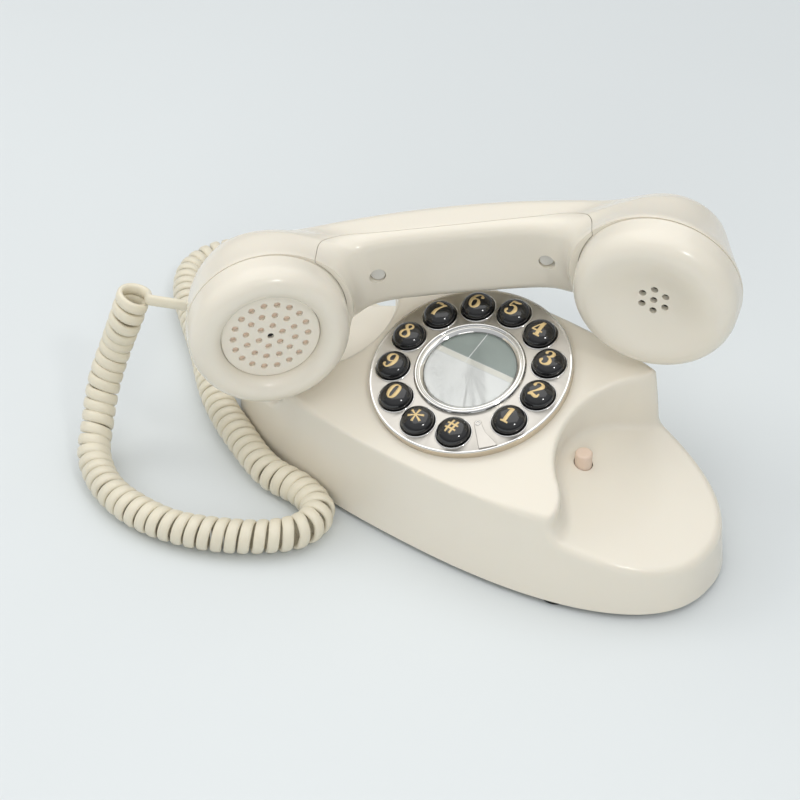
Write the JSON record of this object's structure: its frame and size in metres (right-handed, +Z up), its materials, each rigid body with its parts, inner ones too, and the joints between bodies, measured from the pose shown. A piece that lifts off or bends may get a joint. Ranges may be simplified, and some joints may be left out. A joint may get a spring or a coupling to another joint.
{
  "type": "push-button desk telephone",
  "caption": "Oval desk telephone with round push buttons set out like a dial, handset off the hook and lying across the base, curly cord.",
  "frame": {"origin": "on the table under the middle of the telephone, its handset lying across the base, without its cord", "axes": "+X the user's right, along the base; +Y away from the user; +Z up"},
  "size_m": [0.2911, 0.1779, 0.1261],
  "materials": {
    "ivory_plastic": "glossy warm ivory moulded plastic",
    "black_plate": "dark painted steel",
    "foot_rubber": "soft black rubber",
    "zinc_steel": "bright zinc plated steel",
    "lead_weight": "plain cast metal ballast",
    "circuit_board": "green laminate with small parts",
    "dark_plastic": "matte dark plastic",
    "jack_plastic": "cream moulded plastic",
    "plunger_plastic": "pinkish beige acetal",
    "membrane_rubber": "grey silicone rubber",
    "satin_plate": "satin silver plate with polished edges",
    "polished_chrome": "polished chrome",
    "card_paper": "printed card with a grey band, no words",
    "clear_window": "clear window",
    "button_black": "glossy black with pale gold numerals",
    "plug_grey": "pale grey plastic",
    "cord_cream": "cream vinyl, slightly yellower than the body"
  },
  "bodies": {
    "root": {"base_cover": "ivory_plastic", "base_plate": "black_plate", "rubber_feet": "foot_rubber", "base_screws": "zinc_steel", "ballast_weight": "lead_weight", "main_board": "circuit_board", "ringer_speaker": "dark_plastic", "line_jack": "jack_plastic", "handset_jack": "jack_plastic", "hook_switch": "dark_plastic", "lever_bracket": "zinc_steel", "plunger_spring": "zinc_steel", "dial_housing": "jack_plastic", "keypad_board": "circuit_board", "keypad_membrane": "membrane_rubber", "dial_plate": "satin_plate", "centre_ring": "polished_chrome", "number_card": "card_paper", "card_window": "clear_window", "finger_stop": "satin_plate", "cord_coil": "cord_cream", "base_lead": "cord_cream", "base_plug": "cord_cream"},
    "handset": {"handset_shell": "ivory_plastic", "handle_panel": "ivory_plastic", "transmitter_cap": "ivory_plastic", "transmitter_grille": "ivory_plastic", "receiver_cap": "ivory_plastic", "microphone_capsule": "dark_plastic", "receiver_capsule": "dark_plastic", "handset_weight": "lead_weight", "panel_screws": "zinc_steel", "screw_plugs": "plug_grey", "handset_socket": "jack_plastic", "handset_plug": "cord_cream", "handset_lead": "cord_cream"},
    "hook_plunger": {"hook_plunger": "plunger_plastic"},
    "hook_lever": {"hook_lever": "jack_plastic"},
    "button_1": {"button_1": "button_black"},
    "button_2": {"button_2": "button_black"},
    "button_3": {"button_3": "button_black"},
    "button_4": {"button_4": "button_black"},
    "button_5": {"button_5": "button_black"},
    "button_6": {"button_6": "button_black"},
    "button_7": {"button_7": "button_black"},
    "button_8": {"button_8": "button_black"},
    "button_9": {"button_9": "button_black"},
    "button_0": {"button_0": "button_black"},
    "button_star": {"button_star": "button_black"},
    "button_hash": {"button_hash": "button_black"}
  },
  "joints": [
    {"name": "handset_lift", "type": "slide", "parent": "root", "child": "handset", "axis": [0, 0, 1], "range_m": [0, 0.05]},
    {"name": "hook_press", "type": "slide", "parent": "root", "child": "hook_plunger", "axis": [0, 0, -1], "range_m": [0, 0.004], "stiffness_N_per_m": 150, "springref_m": -0.003, "deforming": ["plunger_spring"]},
    {"name": "hook_lever_turn", "type": "hinge", "parent": "root", "child": "hook_lever", "pos_m": [0.0344, 0.0003, 0.019], "axis": [0, 1, 0], "range_deg": [0, 12.8]},
    {"name": "button_1_press", "type": "slide", "parent": "root", "child": "button_1", "axis": [0, 0.2957, -0.9553], "range_m": [0, 0.0015], "stiffness_N_per_m": 400, "springref_m": -0.001, "deforming": ["keypad_membrane"]},
    {"name": "button_2_press", "type": "slide", "parent": "root", "child": "button_2", "axis": [0, 0.2957, -0.9553], "range_m": [0, 0.0015], "stiffness_N_per_m": 400, "springref_m": -0.001, "deforming": ["keypad_membrane"]},
    {"name": "button_3_press", "type": "slide", "parent": "root", "child": "button_3", "axis": [0, 0.2957, -0.9553], "range_m": [0, 0.0015], "stiffness_N_per_m": 400, "springref_m": -0.001, "deforming": ["keypad_membrane"]},
    {"name": "button_4_press", "type": "slide", "parent": "root", "child": "button_4", "axis": [0, 0.2957, -0.9553], "range_m": [0, 0.0015], "stiffness_N_per_m": 400, "springref_m": -0.001, "deforming": ["keypad_membrane"]},
    {"name": "button_5_press", "type": "slide", "parent": "root", "child": "button_5", "axis": [0, 0.2957, -0.9553], "range_m": [0, 0.0015], "stiffness_N_per_m": 400, "springref_m": -0.001, "deforming": ["keypad_membrane"]},
    {"name": "button_6_press", "type": "slide", "parent": "root", "child": "button_6", "axis": [0, 0.2957, -0.9553], "range_m": [0, 0.0015], "stiffness_N_per_m": 400, "springref_m": -0.001, "deforming": ["keypad_membrane"]},
    {"name": "button_7_press", "type": "slide", "parent": "root", "child": "button_7", "axis": [0, 0.2957, -0.9553], "range_m": [0, 0.0015], "stiffness_N_per_m": 400, "springref_m": -0.001, "deforming": ["keypad_membrane"]},
    {"name": "button_8_press", "type": "slide", "parent": "root", "child": "button_8", "axis": [0, 0.2957, -0.9553], "range_m": [0, 0.0015], "stiffness_N_per_m": 400, "springref_m": -0.001, "deforming": ["keypad_membrane"]},
    {"name": "button_9_press", "type": "slide", "parent": "root", "child": "button_9", "axis": [0, 0.2957, -0.9553], "range_m": [0, 0.0015], "stiffness_N_per_m": 400, "springref_m": -0.001, "deforming": ["keypad_membrane"]},
    {"name": "button_0_press", "type": "slide", "parent": "root", "child": "button_0", "axis": [0, 0.2957, -0.9553], "range_m": [0, 0.0015], "stiffness_N_per_m": 400, "springref_m": -0.001, "deforming": ["keypad_membrane"]},
    {"name": "button_star_press", "type": "slide", "parent": "root", "child": "button_star", "axis": [0, 0.2957, -0.9553], "range_m": [0, 0.0015], "stiffness_N_per_m": 400, "springref_m": -0.001, "deforming": ["keypad_membrane"]},
    {"name": "button_hash_press", "type": "slide", "parent": "root", "child": "button_hash", "axis": [0, 0.2957, -0.9553], "range_m": [0, 0.0015], "stiffness_N_per_m": 400, "springref_m": -0.001, "deforming": ["keypad_membrane"]}
  ],
  "couplings": [
    {"joint": "hook_lever_turn", "follows": "hook_press", "rad_per_m": 55.55}
  ]
}
